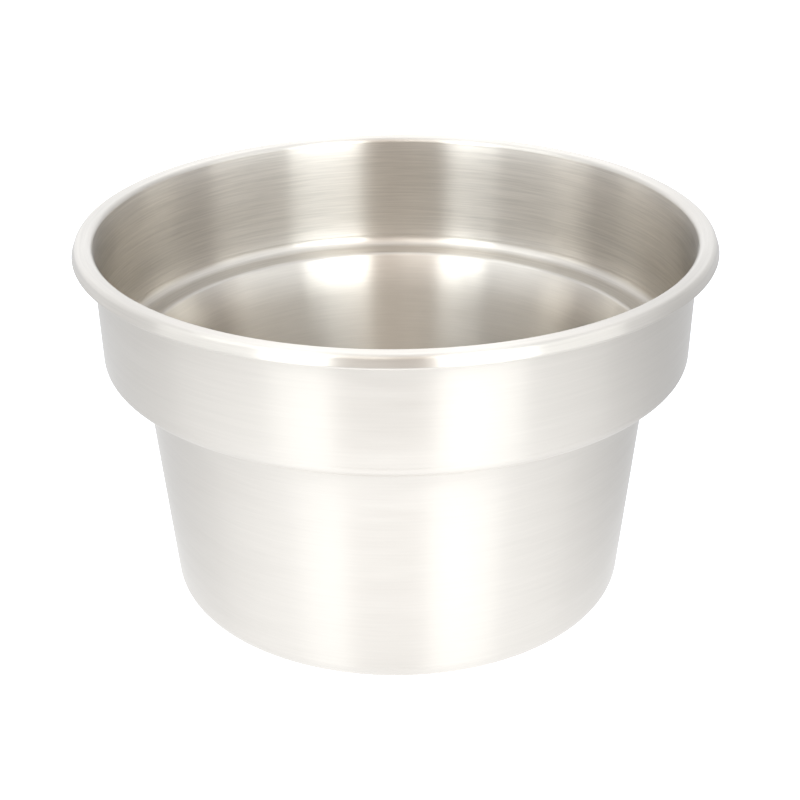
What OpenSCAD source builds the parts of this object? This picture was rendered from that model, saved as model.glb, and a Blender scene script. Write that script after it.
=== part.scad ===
// Stepped pan of a soup kettle, drawn and spun from one round of sheet steel.
//
// The sheet runs flat across the base, up the tapered body, out through a flared neck and
// along a ledge, up the collar, and is rolled outwards into the rim. The rim is pressed flat
// above and below, so that it sits on the edge of the round opening that the pan hangs in.
// Each form of the sheet is a node of its own: the tight bends belong to the base, the ledge
// and the rim, the neck is one shallow bend, and the body and the collar are straight walls.
// Z is up, the origin is the centre of the base, and lengths are in millimetres.
// Bend radii are inside radii, as on any sheet metal part.

/* [Sheet] */
// Thickness of the steel sheet
sheet_t = 0.8; // [0.5:0.1:1.5]

/* [Rim] */
// Diameter across the outside of the rolled rim
rim_d = 320; // [260:1:380]
// Height of the rim, from its seat to its top
rim_h = 6.5; // [6:0.1:14]
// Width of the flat top of the rim, between its two bends
rim_flat_w = 2.9; // [0.5:0.1:8]
// Inside radius of the bend from the collar out to the flat top
shoulder_r = 2.4; // [1:0.1:5]
// Inside radius of the bend from the flat top down to the rim's outer face
lip_r = 3.6; // [1:0.1:3.8]
// Inside radius of the tight bend that turns the edge of the sheet back under the rim
hem_r = 0.4; // [0.2:0.1:0.6]
// Gap between the edge of the sheet, under the rim, and the collar
hem_gap = 0.4; // [0.1:0.1:2]

/* [Collar] */
// Height of the collar, from the underside of the ledge to the top of the rim
collar_h = 65; // [40:1:90]
// Lean of the collar's wall away from upright, in degrees
collar_draft = 1.8; // [0:0.1:6]

/* [Ledge] */
// Width of the flat part of the ledge, between its two bends
ledge_w = 6.5; // [3:0.5:20]
// Inside radius of the ledge's outer bend, up to the collar
ledge_corner_r = 6; // [1:0.1:12]
// Inside radius of the ledge's inner bend, down to the neck
ledge_edge_r = 2.2; // [0.5:0.1:5]

/* [Neck] */
// Inside radius of the shallow bend that flares the body out to the ledge
neck_r = 57; // [20:1:80]
// Lean of the neck away from upright where it meets the ledge, in degrees
neck_draft = 27; // [15:0.5:45]

/* [Body] */
// Height of the body, from the base to the underside of the ledge
body_h = 128; // [80:1:180]
// Lean of the body's wall away from upright, in degrees
body_draft = 5.4; // [0:0.1:9]

/* [Base] */
// Inside radius of the bend from the base up to the body
base_corner_r = 10.2; // [3:0.1:25]

/* [Hidden] */

rim_r = rim_d / 2;
rim_z = body_h + collar_h;

// Facets drawn round the axis, and round a whole turn of a bend
round_fn = 180;
bend_fn = 48;

// Outside radius of a bend
function outside(r) = r + sheet_t;

// Distance between the centres of two bends that a leaning wall joins, measured level,
// where the centres lie gap apart square to the wall, and rise apart in height
function lean(gap, rise, draft) = (gap + rise * sin(draft)) / cos(draft);

// A point at a radius and an angle from a bend's centre
function at(centre, r, angle) = centre + r * [cos(angle), sin(angle)];

// Flat seat that the pan hangs by
seat_z = rim_z - rim_h;

// Centres of the seven bends, as [radius from the axis, height], worked inwards from the rim
hem_c = [rim_r - outside(hem_r), seat_z + outside(hem_r)];
lip_c = [rim_r - outside(lip_r), rim_z - outside(lip_r)];
shoulder_c = [lip_c.x - rim_flat_w, rim_z - outside(shoulder_r)];
corner_z = body_h + outside(ledge_corner_r);
corner_reach = lean(shoulder_r + outside(ledge_corner_r), shoulder_c.y - corner_z, collar_draft);
corner_c = [shoulder_c.x - corner_reach, corner_z];
edge_c = [corner_c.x - ledge_w, body_h - ledge_edge_r];
neck_c = at(edge_c, neck_r - ledge_edge_r, -neck_draft);
base_z = outside(base_corner_r);
base_c = [neck_c.x - lean(neck_r + base_z, neck_c.y - base_z, body_draft), base_z];

// Edge of the sheet, under the rim
hem_end_r = shoulder_c.x - lean(shoulder_r, shoulder_c.y - hem_c.y, collar_draft) + hem_gap;

// The section of a bend, from one angle to another
module bend(centre, r, first, last) {
    reach = 2 * outside(r);
    middle = (first + last) / 2;
    intersection() {
        translate(centre)
            difference() {
                circle(outside(r), $fn = bend_fn);
                circle(r, $fn = bend_fn);
            }
        polygon([
            centre,
            at(centre, reach, first),
            at(centre, reach, (first + middle) / 2),
            at(centre, reach, middle),
            at(centre, reach, (middle + last) / 2),
            at(centre, reach, last)
        ]);
    }
}

// The section of a level stretch, with its underside at height z
module level(from_r, to_r, z) {
    translate([from_r, z])
        square([to_r - from_r, sheet_t]);
}

// The section of an upright stretch, with its outer face at radius r
module upright(r, from_z, to_z) {
    translate([r - sheet_t, from_z])
        square([sheet_t, to_z - from_z]);
}

// A section of the sheet, turned all the way round the axis
module turned() {
    color("silver")
        rotate_extrude($fn = round_fn)
            children();
}

module base() {
    turned() {
        level(0, base_c.x, 0);
        bend(base_c, base_corner_r, -90, -body_draft);
    }
}

module body() {
    turned()
        polygon([
            at(base_c, base_corner_r, -body_draft),
            at(base_c, outside(base_corner_r), -body_draft),
            at(neck_c, neck_r, 180 - body_draft),
            at(neck_c, outside(neck_r), 180 - body_draft)
        ]);
}

module neck() {
    turned()
        bend(neck_c, neck_r, 180 - body_draft, 180 - neck_draft);
}

module ledge() {
    turned() {
        bend(edge_c, ledge_edge_r, 180 - neck_draft, 90);
        level(edge_c.x, corner_c.x, body_h);
        bend(corner_c, ledge_corner_r, -90, -collar_draft);
    }
}

module collar() {
    turned()
        polygon([
            at(corner_c, ledge_corner_r, -collar_draft),
            at(corner_c, outside(ledge_corner_r), -collar_draft),
            at(shoulder_c, shoulder_r, 180 - collar_draft),
            at(shoulder_c, outside(shoulder_r), 180 - collar_draft)
        ]);
}

module rim() {
    turned() {
        bend(shoulder_c, shoulder_r, 180 - collar_draft, 90);
        level(shoulder_c.x, lip_c.x, rim_z - sheet_t);
        bend(lip_c, lip_r, 90, 0);
        upright(rim_r, hem_c.y, lip_c.y);
        bend(hem_c, hem_r, 0, -90);
        level(hem_end_r, hem_c.x, seat_z);
    }
}

base();
body();
neck();
ledge();
collar();
rim();
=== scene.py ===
"""Looks of the stepped pan of a soup kettle: one sheet of satin brushed stainless steel.

Each CAD node is replaced by a finely turned mesh of the same form, whose normals run on
smoothly from one form of the sheet to the next. Lengths are in metres, angles in degrees.
"""

import math

import bpy
from mathutils import Matrix, Vector


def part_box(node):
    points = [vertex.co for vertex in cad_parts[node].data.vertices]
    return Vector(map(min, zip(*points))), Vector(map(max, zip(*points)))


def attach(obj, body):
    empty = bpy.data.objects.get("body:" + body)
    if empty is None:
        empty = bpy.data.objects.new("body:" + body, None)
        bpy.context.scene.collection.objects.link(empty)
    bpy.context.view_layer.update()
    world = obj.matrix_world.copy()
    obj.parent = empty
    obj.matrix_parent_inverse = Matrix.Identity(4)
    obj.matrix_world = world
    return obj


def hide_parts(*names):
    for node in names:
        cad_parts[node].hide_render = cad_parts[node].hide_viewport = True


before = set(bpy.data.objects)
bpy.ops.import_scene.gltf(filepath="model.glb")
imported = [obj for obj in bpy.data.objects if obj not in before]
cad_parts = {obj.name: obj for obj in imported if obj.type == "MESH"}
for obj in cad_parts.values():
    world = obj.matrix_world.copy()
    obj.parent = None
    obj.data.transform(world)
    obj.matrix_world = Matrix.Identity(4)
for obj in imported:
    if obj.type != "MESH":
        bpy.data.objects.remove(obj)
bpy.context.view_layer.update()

# --- The sheet's section -------------------------------------------------------------------

SHEET = 0.0008
HALF = SHEET / 2
RIM_H = 0.0065
HEM_R = 0.0004
HEM_GAP = 0.0004
LIP_R = 0.002
SHOULDER_R = 0.0024
SHOULDER_INSET = 0.0073
LEDGE_W = 0.0065
LEDGE_CORNER_R = 0.006
LEDGE_EDGE_R = 0.0022
NECK_R = 0.057
BASE_CORNER_R = 0.0102
COLLAR_H = 0.065

# How far each straight stretch leans away from upright
LIP_DRAFT = math.radians(20)
COLLAR_DRAFT = math.radians(1.8)
NECK_DRAFT = math.radians(27)
BODY_DRAFT = math.radians(5.4)

RIM_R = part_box("rim")[1].x
RIM_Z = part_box("rim")[1].z
BODY_H = RIM_Z - COLLAR_H

# How finely the sheet is divided: round the axis, round a bend and along a wall
TURN_STEPS = 360
BEND_STEP = math.radians(3)
WALL_STEP = 0.002
AXIS_R = 1e-5

# A spun wall springs back a little where it runs into a bend. For each form: how far its
# normals turn up at its lower end and at its upper end, and how far along the sheet this
# reaches. The neck turns as far as the body does where the two meet.
SPRING = {
    "body": (0.0, 5.0, 0.016),
    "neck": (5.0, 0.0, 0.016),
    "collar": (8.5, 9.5, 0.007),
}

# How strongly the brushing shows on the soup side of each form. It hardly shows outside.
BRUSHING = {
    "base": 0.2,
    "body": 0.2,
    "neck": 0.3,
    "ledge": 0.8,
    "collar": 1.0,
    "rim": 0.3,
}

UP = (0.0, 1.0)
DOWN = (0.0, -1.0)


def outside(r):
    """Outside radius of a bend."""
    return r + SHEET


def lean(gap, rise, draft):
    """Level distance between two bends' centres that a leaning wall joins."""
    return (gap + rise * math.sin(draft)) / math.cos(draft)


# Centres of the bends, as (radius from the axis, height), worked inwards from the rim
HEM_C = (RIM_R - outside(HEM_R), RIM_Z - RIM_H + outside(HEM_R))
LIP_Z = RIM_Z - outside(LIP_R)
LIP_C = (HEM_C[0] - lean(LIP_R - HEM_R, LIP_Z - HEM_C[1], LIP_DRAFT), LIP_Z)
SHOULDER_C = (RIM_R - SHOULDER_INSET, RIM_Z - outside(SHOULDER_R))
CORNER_Z = BODY_H + outside(LEDGE_CORNER_R)
CORNER_REACH = lean(SHOULDER_R + outside(LEDGE_CORNER_R), SHOULDER_C[1] - CORNER_Z, COLLAR_DRAFT)
CORNER_C = (SHOULDER_C[0] - CORNER_REACH, CORNER_Z)
EDGE_C = (CORNER_C[0] - LEDGE_W, BODY_H - LEDGE_EDGE_R)
NECK_C = (
    EDGE_C[0] + (NECK_R - LEDGE_EDGE_R) * math.cos(NECK_DRAFT),
    EDGE_C[1] - (NECK_R - LEDGE_EDGE_R) * math.sin(NECK_DRAFT),
)
BASE_Z = outside(BASE_CORNER_R)
BASE_C = (NECK_C[0] - lean(NECK_R + BASE_Z, NECK_C[1] - BASE_Z, BODY_DRAFT), BASE_Z)
HEM_END_R = SHOULDER_C[0] - lean(SHOULDER_R, SHOULDER_C[1] - HEM_C[1], COLLAR_DRAFT) + HEM_GAP
SEAT_Z = HEM_C[1] - outside(HEM_R)

# A bend is its centre, its inside radius, its first and last angle, and the sign of its
# outward normal on the soup side: 1 where the soup side is outside the bend, else -1.
BASE_BEND = (BASE_C, BASE_CORNER_R, -math.pi / 2, -BODY_DRAFT, -1)
NECK_BEND = (NECK_C, NECK_R, math.pi - BODY_DRAFT, math.pi - NECK_DRAFT, 1)
EDGE_BEND = (EDGE_C, LEDGE_EDGE_R, math.pi - NECK_DRAFT, math.pi / 2, 1)
CORNER_BEND = (CORNER_C, LEDGE_CORNER_R, -math.pi / 2, -COLLAR_DRAFT, -1)
SHOULDER_BEND = (SHOULDER_C, SHOULDER_R, math.pi - COLLAR_DRAFT, math.pi / 2, 1)
LIP_BEND = (LIP_C, LIP_R, math.pi / 2, LIP_DRAFT, 1)
HEM_BEND = (HEM_C, HEM_R, LIP_DRAFT, -math.pi / 2, 1)


def bend_line(bend):
    """Points along a bend's middle line, each with the sheet's normal on the soup side."""
    centre, r, first, last, side = bend
    turn = abs(last - first)
    middle = r + HALF
    steps = max(1, math.ceil(turn / BEND_STEP), math.ceil(turn * middle / WALL_STEP))
    points = []
    for i in range(steps + 1):
        angle = first + (last - first) * i / steps
        out = (math.cos(angle), math.sin(angle))
        place = (centre[0] + middle * out[0], centre[1] + middle * out[1])
        points.append((place, (side * out[0], side * out[1])))
    return points


def straight_line(start, end, normal):
    """Points along a straight stretch's middle line, from start to end."""
    steps = max(1, math.ceil(math.dist(start, end) / WALL_STEP))
    points = []
    for i in range(steps + 1):
        t = i / steps
        place = (start[0] + (end[0] - start[0]) * t, start[1] + (end[1] - start[1]) * t)
        points.append((place, normal))
    return points


def joined(*lines):
    """The lines one after another, without the doubled points where they meet."""
    points = list(lines[0])
    for line in lines[1:]:
        points.extend(line[1:])
    return points


def wall_between(lower, upper):
    """The straight wall from the end of one bend to the start of the next."""
    start = bend_line(lower)[-1]
    end = bend_line(upper)[0]
    return straight_line(start[0], end[0], start[1])


def sprung(line, spring):
    """The line with its normals turned up towards its ends."""
    low, high, reach = spring
    start, end = line[0][0], line[-1][0]
    points = []
    for place, normal in line:
        from_start = math.exp(-math.dist(place, start) / reach)
        from_end = math.exp(-math.dist(place, end) / reach)
        tilt = math.radians(low * from_start + high * from_end)
        c, s = math.cos(tilt), math.sin(tilt)
        points.append((place, (normal[0] * c + normal[1] * s, normal[1] * c - normal[0] * s)))
    return points


FORMS = {
    "base": joined(straight_line((0.0, HALF), (BASE_C[0], HALF), UP), bend_line(BASE_BEND)),
    "body": sprung(wall_between(BASE_BEND, NECK_BEND), SPRING["body"]),
    "neck": sprung(bend_line(NECK_BEND), SPRING["neck"]),
    "ledge": joined(
        bend_line(EDGE_BEND),
        straight_line((EDGE_C[0], BODY_H + HALF), (CORNER_C[0], BODY_H + HALF), UP),
        bend_line(CORNER_BEND),
    ),
    "collar": sprung(wall_between(CORNER_BEND, SHOULDER_BEND), SPRING["collar"]),
    "rim": joined(
        bend_line(SHOULDER_BEND),
        wall_between(SHOULDER_BEND, LIP_BEND),
        bend_line(LIP_BEND),
        wall_between(LIP_BEND, HEM_BEND),
        bend_line(HEM_BEND),
        straight_line((HEM_C[0], SEAT_Z + HALF), (HEM_END_R, SEAT_Z + HALF), DOWN),
    ),
}


# --- Turned meshes -------------------------------------------------------------------------


def skins(line):
    """The closed section round a middle line: the soup side, and then the outer side back."""
    soup = [((p[0] + HALF * n[0], p[1] + HALF * n[1]), n) for p, n in line]
    outer = [((p[0] - HALF * n[0], p[1] - HALF * n[1]), (-n[0], -n[1])) for p, n in line]
    return soup, outer[::-1]


def cut_normal(p, q):
    """The normal of the sheet's cut edge, between the section's points p and q."""
    return Vector((p[1] - q[1], q[0] - p[0])).normalized()


def distances(line, start):
    """How far along the sheet each point lies, from the middle of the base."""
    found = [start]
    for (a, _), (b, _) in zip(line, line[1:]):
        found.append(found[-1] + math.dist(a, b))
    return found


def turned_points(ring):
    """The ring of the section at each step round the axis."""
    points = []
    for step in range(TURN_STEPS):
        angle = 2 * math.pi * step / TURN_STEPS
        for (r, z), _ in ring:
            away = max(r, AXIS_R)
            points.append((away * math.cos(angle), away * math.sin(angle), z))
    return points


def turned_faces(ring, soup_count, closed_at_axis):
    """The faces between the steps, and the exact normal at each of their corners. A form that
    is closed at the axis has no cut edge there, but a small flat face above and below."""
    count = len(ring)
    sides = count - 1 if closed_at_axis else count
    faces = []
    normals = []
    for step in range(TURN_STEPS):
        here = step * count
        there = ((step + 1) % TURN_STEPS) * count
        for i in range(sides):
            j = (i + 1) % count
            at_cut = i in (soup_count - 1, count - 1)
            face = (here + i, here + j, there + j, there + i)
            faces.append(face)
            for vertex in face:
                n = cut_normal(ring[i][0], ring[j][0]) if at_cut else ring[vertex % count][1]
                turn = 2 * math.pi * (vertex // count) / TURN_STEPS
                normals.append((n[0] * math.cos(turn), n[0] * math.sin(turn), n[1]))
    if closed_at_axis:
        top = [step * count for step in range(TURN_STEPS)]
        bottom = [step * count + count - 1 for step in reversed(range(TURN_STEPS))]
        faces.extend([top, bottom])
        normals.extend([(0.0, 0.0, 1.0)] * TURN_STEPS + [(0.0, 0.0, -1.0)] * TURN_STEPS)
    return faces, normals


def add_values(mesh, name, ring_values):
    """A value for each point of the ring, the same at every step round the axis."""
    attribute = mesh.attributes.new(name, "FLOAT", "POINT")
    attribute.data.foreach_set("value", ring_values * TURN_STEPS)


def turned(name, line, runs, brushing):
    """A piece: the section turned round the Z axis. The attribute run is the distance along
    the sheet, and brushing is how strongly the brushing shows."""
    soup, outer = skins(line)
    ring = soup + outer
    closed_at_axis = line[0][0][0] < AXIS_R
    faces, normals = turned_faces(ring, len(soup), closed_at_axis)
    mesh = bpy.data.meshes.new(name)
    mesh.from_pydata(turned_points(ring), [], faces)
    mesh.polygons.foreach_set("use_smooth", [True] * len(mesh.polygons))
    add_values(mesh, "run", runs + runs[::-1])
    add_values(mesh, "brushing", [brushing] * len(soup) + [0.0] * len(outer))
    mesh.normals_split_custom_set(normals)
    piece = bpy.data.objects.new(name, mesh)
    bpy.context.scene.collection.objects.link(piece)
    return piece


# --- Materials -----------------------------------------------------------------------------


# Where the Mix node keeps its colours among its inputs and outputs. Its sockets share names.
MIX_FIRST = 6
MIX_SECOND = 7
MIXED = 2


class Nodes:
    """A short way to write a node tree. An input is a value or another node's socket."""

    def __init__(self, tree):
        self.tree = tree

    def add(self, kind, inputs=None, **settings):
        node = self.tree.nodes.new("ShaderNode" + kind)
        for key, value in settings.items():
            setattr(node, key, value)
        for key, value in (inputs or {}).items():
            if isinstance(value, bpy.types.NodeSocket):
                self.tree.links.new(value, node.inputs[key])
            else:
                node.inputs[key].default_value = value
        return node.outputs

    def sum(self, terms):
        """All the terms added up."""
        total = terms[0]
        for term in terms[1:]:
            total = self.add("Math", {0: total, 1: term})[0]
        return total

    def product(self, a, b):
        return self.add("Math", {0: a, 1: b}, operation="MULTIPLY")[0]

    def ranged(self, value, low, high, to_low, to_high, **settings):
        """The value, carried from one range to another."""
        inputs = {
            "Value": value,
            "From Min": low,
            "From Max": high,
            "To Min": to_low,
            "To Max": to_high,
        }
        return self.add("MapRange", inputs, **settings)[0]

    def mixed(self, share, first, second):
        """The first colour, with a share of the second."""
        colours = {"Factor": share, MIX_FIRST: first, MIX_SECOND: second}
        return self.add("Mix", colours, data_type="RGBA")[MIXED]

    def patch(self, place, centre, near, far, inner, outer):
        """A soft round patch: inner within near of the centre, outer beyond far."""
        away = self.add("VectorMath", {0: place, 1: centre}, operation="DISTANCE")["Value"]
        return self.ranged(away, near, far, inner, outer, interpolation_type="SMOOTHSTEP")


def new_material(name):
    """An empty material, as (material, nodes)."""
    material = bpy.data.materials.new(name)
    material.use_nodes = True
    material.node_tree.nodes.clear()
    return material, Nodes(material.node_tree)


STEEL_COLOUR = (0.612, 0.576, 0.523)

# Brushed streaks: their length as a share of the radius, their width, the noise's detail,
# and a shift that sets one kind apart from another
FINE_STREAKS = (0.12, 0.0007, 3.0, 0.0)
TONE_STREAKS = (0.25, 0.0011, 3.0, 80.0)
BROAD_STREAKS = (0.45, 0.006, 2.0, 40.0)
STREAK_ROUGHNESS = 0.6

# The noise keeps mostly between these two values
NOISE_LOW = 0.3
NOISE_HIGH = 0.7

# How far the tone streaks carry the colour up and down: outside, and at full brushing
TONE_OUTSIDE = 0.02
TONE_BRUSHED = 0.095

# Satin steel: rough across the brushing and smooth along it
ROUGHNESS_LOW = 0.295
ROUGHNESS_HIGH = 0.325
ANISOTROPY = 1.0
ACROSS = 0.25
SCRATCH_STRENGTH = 0.25
SCRATCH_DEPTH = 0.00002


def brushed_steel():
    """Satin stainless steel, brushed round and round."""
    material, n = new_material("brushed_steel")
    place = n.add("TexCoord")["Object"]
    split = n.add("SeparateXYZ", {0: place})
    level = n.add("CombineXYZ", {0: split[0], 1: split[1]})[0]
    around = n.add("VectorMath", {0: level}, operation="NORMALIZE")[0]
    around = n.add("SeparateXYZ", {0: around})
    run = n.add("Attribute", attribute_name="run")["Fac"]

    def streaks(length, width, detail, shift):
        """Noise stretched round the pan."""
        x = n.product(around[0], 1 / length)
        y = n.product(around[1], 1 / length)
        z = n.sum([n.product(run, 1 / width), shift])
        vector = n.add("CombineXYZ", {0: x, 1: y, 2: z})[0]
        noise = {"Vector": vector, "Scale": 1.0, "Detail": detail, "Roughness": STREAK_ROUGHNESS}
        return n.add("TexNoise", noise)["Fac"]

    brushing = n.add("Attribute", attribute_name="brushing")["Fac"]
    reach = n.ranged(brushing, 0.0, 1.0, TONE_OUTSIDE, TONE_BRUSHED)
    swing = n.ranged(streaks(*TONE_STREAKS), NOISE_LOW, NOISE_HIGH, -1.0, 1.0, clamp=False)
    tone = n.sum([n.product(swing, reach), 1.0])
    colour = n.add("VectorMath", {0: STEEL_COLOUR, "Scale": tone}, operation="SCALE")[0]
    rough = n.ranged(streaks(*BROAD_STREAKS), NOISE_LOW, NOISE_HIGH, ROUGHNESS_LOW, ROUGHNESS_HIGH)
    scratches = {
        "Height": streaks(*FINE_STREAKS),
        "Strength": SCRATCH_STRENGTH,
        "Distance": SCRATCH_DEPTH,
    }
    steel = {
        "Base Color": colour,
        "Metallic": 1.0,
        "Roughness": rough,
        "Anisotropic": ANISOTROPY,
        "Anisotropic Rotation": ACROSS,
        "Tangent": n.add("Tangent", direction_type="RADIAL", axis="Z")[0],
        "Normal": n.add("Bump", scratches)[0],
    }
    n.add("OutputMaterial", {"Surface": n.add("BsdfPrincipled", steel)[0]})
    return material


# --- The pan -------------------------------------------------------------------------------


def add_pan():
    """Each form of the sheet, in place of its CAD node."""
    steel = brushed_steel()
    start = 0.0
    for node, line in FORMS.items():
        runs = distances(line, start)
        start = runs[-1]
        piece = turned("sheet_" + node, line, runs, BRUSHING[node])
        piece.data.materials.append(steel)
        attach(piece, "root")
        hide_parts(node)


# --- Studio --------------------------------------------------------------------------------

STUDIO_WHITE = (0.97, 1.0, 1.05, 1.0)
SOFTBOX_WHITE = (0.95, 1.0, 1.02)
WARM_WHITE = (1.235, 1.12, 1.03, 1.0)

# The table: its half width, its plain radiance, and soft round pools of more or less light
# on it, each as its centre, its reach and its radiance
TABLE_HALF = 6.0
TABLE_RADIANCE = 0.83
TABLE_POOLS = [
    ((-0.2, -0.35, 0.0), 0.9, 0.73),
    ((0.2, -0.35, 0.0), 0.75, 0.44),
    ((0.0, -0.35, 0.0), 0.3, 0.25),
    # Painted shadow: these two pools darken the table beside the pan.
    ((-0.2, 0.03, 0.0), 0.24, -0.25),
    ((0.24, 0.06, 0.0), 0.3, -0.24),
]

# The room: its radiance to the sides and at the back, between two depths of the direction.
# Soft round patches of it are darker or brighter: each has the direction of its middle, how far
# round it the patch is even, how far it reaches, and the share of the radiance at its middle.
ROOM_RADIANCE = 1.24
BACK_RADIANCE = 1.42
BACK_FROM = 0.2
BACK_TO = 0.7
ROOM_PATCHES = [
    ((-0.06, -0.98, 0.12), 0.22, 0.42, 0.18),
    ((0.76, 0.63, 0.16), 0.3, 0.75, 0.7),
    ((0.0, 0.66, 0.75), 0.1, 0.45, 1.85),
]
# The warm part of the room, over the camera: its direction, and the same two distances
ROOM_WARMTH = ((0.0, -0.75, 0.66), 0.25, 0.52)

# The softboxes, as seen from the pan: azimuth (0 is the camera's side, 90 is +X), elevation,
# half their reach to each side and up and down, radiance, and distance
SOFTBOX_AIM = Vector((0, 0, 0.1))
SOFTBOXES = {
    "right": (25, 28.5, 10, 15.5, 4.2, 2.0),
    "right_side": (40, 20.5, 5, 7.5, 5.0, 2.0),
    "left": (-38, 36, 6.5, 8, 3.4, 2.0),
    "left_low": (-38, 15, 6.5, 13, 0.9, 2.0),
    "left_inner": (-27, 28.5, 4.5, 15.5, 2.6, 2.0),
    "fill_left": (-55, 23.5, 30, 21.5, 0.5, 3.0),
    "fill_right": (50, 23.5, 30, 21.5, 0.65, 3.0),
    "overhead": (-45, 56, 27, 6, 2.1, 2.0),
}

# The photograph's camera: where it stands, where it looks, how far it leans, and its lens
CAMERA_PLACE = Vector((0.0, -0.8060, 0.4824))
CAMERA_AIM = Vector((0.0017, 0.0, 0.0967))
CAMERA_ROLL = math.radians(-0.40)
CAMERA_LENS = 76.8
CAMERA_SENSOR = 36.0


def table_material():
    """A pale table that glows, with pools of more and less light; the dim pools beside the pan are
    painted shadow. Camera rays alone see it glow brighter, a painted glow that burns it out to
    plain white.
    """
    material, n = new_material("floor")
    place = n.add("TexCoord")["Object"]
    lights = [TABLE_RADIANCE]
    for centre, reach, light in TABLE_POOLS:
        lights.append(n.patch(place, centre, 0.0, reach, light, 0.0))
    # Painted glow: only camera rays see the table this much brighter, so it shows as plain white.
    camera_ray_glow = n.add("LightPath")["Is Camera Ray"]
    strength = n.sum([*lights, camera_ray_glow])
    glow = n.add("Emission", {"Color": STUDIO_WHITE, "Strength": strength})[0]
    n.add("OutputMaterial", {"Surface": glow})
    return material


def add_floor():
    """The table that the pan stands on."""
    half = TABLE_HALF
    corners = [(-half, -half, 0), (half, -half, 0), (half, half, 0), (-half, half, 0)]
    mesh = bpy.data.meshes.new("floor")
    mesh.from_pydata(corners, [], [(0, 1, 2, 3)])
    mesh.materials.append(table_material())
    floor = bpy.data.objects.new("floor", mesh)
    bpy.context.scene.collection.objects.link(floor)


def add_room():
    """White surroundings: bright at the back, dim round the camera, and warm over it."""
    world = bpy.data.worlds.new("studio")
    world.use_nodes = True
    world.node_tree.nodes.clear()
    n = Nodes(world.node_tree)
    way = n.add("TexCoord")["Generated"]
    depth = n.add("SeparateXYZ", {0: way})[1]
    strength = n.ranged(depth, BACK_FROM, BACK_TO, ROOM_RADIANCE, BACK_RADIANCE)
    for centre, near, far, share in ROOM_PATCHES:
        strength = n.product(strength, n.patch(way, centre, near, far, share, 1.0))
    warmth = n.patch(way, *ROOM_WARMTH, 1.0, 0.0)
    colour = n.mixed(warmth, STUDIO_WHITE, WARM_WHITE)
    light = n.add("Background", {"Color": colour, "Strength": strength})[0]
    n.add("OutputWorld", {"Surface": light})
    bpy.context.scene.world = world


def add_softbox(name, azimuth, elevation, half_turn, half_rise, radiance, distance):
    """A soft area light that faces the pan."""
    turn = math.radians(azimuth)
    rise = math.radians(elevation)
    reach = math.cos(rise)
    way = Vector((reach * math.sin(turn), -reach * math.cos(turn), math.sin(rise)))
    data = bpy.data.lights.new("softbox_" + name, "AREA")
    data.shape = "RECTANGLE"
    data.size = 2 * distance * math.tan(math.radians(half_turn))
    data.size_y = 2 * distance * math.tan(math.radians(half_rise))
    data.energy = radiance * math.pi * data.size * data.size_y
    data.color = SOFTBOX_WHITE
    light = bpy.data.objects.new("softbox_" + name, data)
    light.location = SOFTBOX_AIM + way * distance
    light.rotation_euler = way.to_track_quat("Z", "Y").to_euler()
    bpy.context.scene.collection.objects.link(light)


def add_camera():
    """The photograph's camera."""
    data = bpy.data.cameras.new("camera")
    data.lens = CAMERA_LENS
    data.sensor_width = CAMERA_SENSOR
    camera = bpy.data.objects.new("camera", data)
    level = (CAMERA_AIM - CAMERA_PLACE).to_track_quat("-Z", "Y").to_matrix()
    leaning = level @ Matrix.Rotation(CAMERA_ROLL, 3, "Z")
    camera.matrix_world = Matrix.Translation(CAMERA_PLACE) @ leaning.to_4x4()
    bpy.context.scene.collection.objects.link(camera)
    bpy.context.scene.camera = camera


add_pan()
add_camera()
add_floor()
add_room()
for name, softbox in SOFTBOXES.items():
    add_softbox(name, *softbox)
bpy.context.scene.view_settings.view_transform = "Standard"
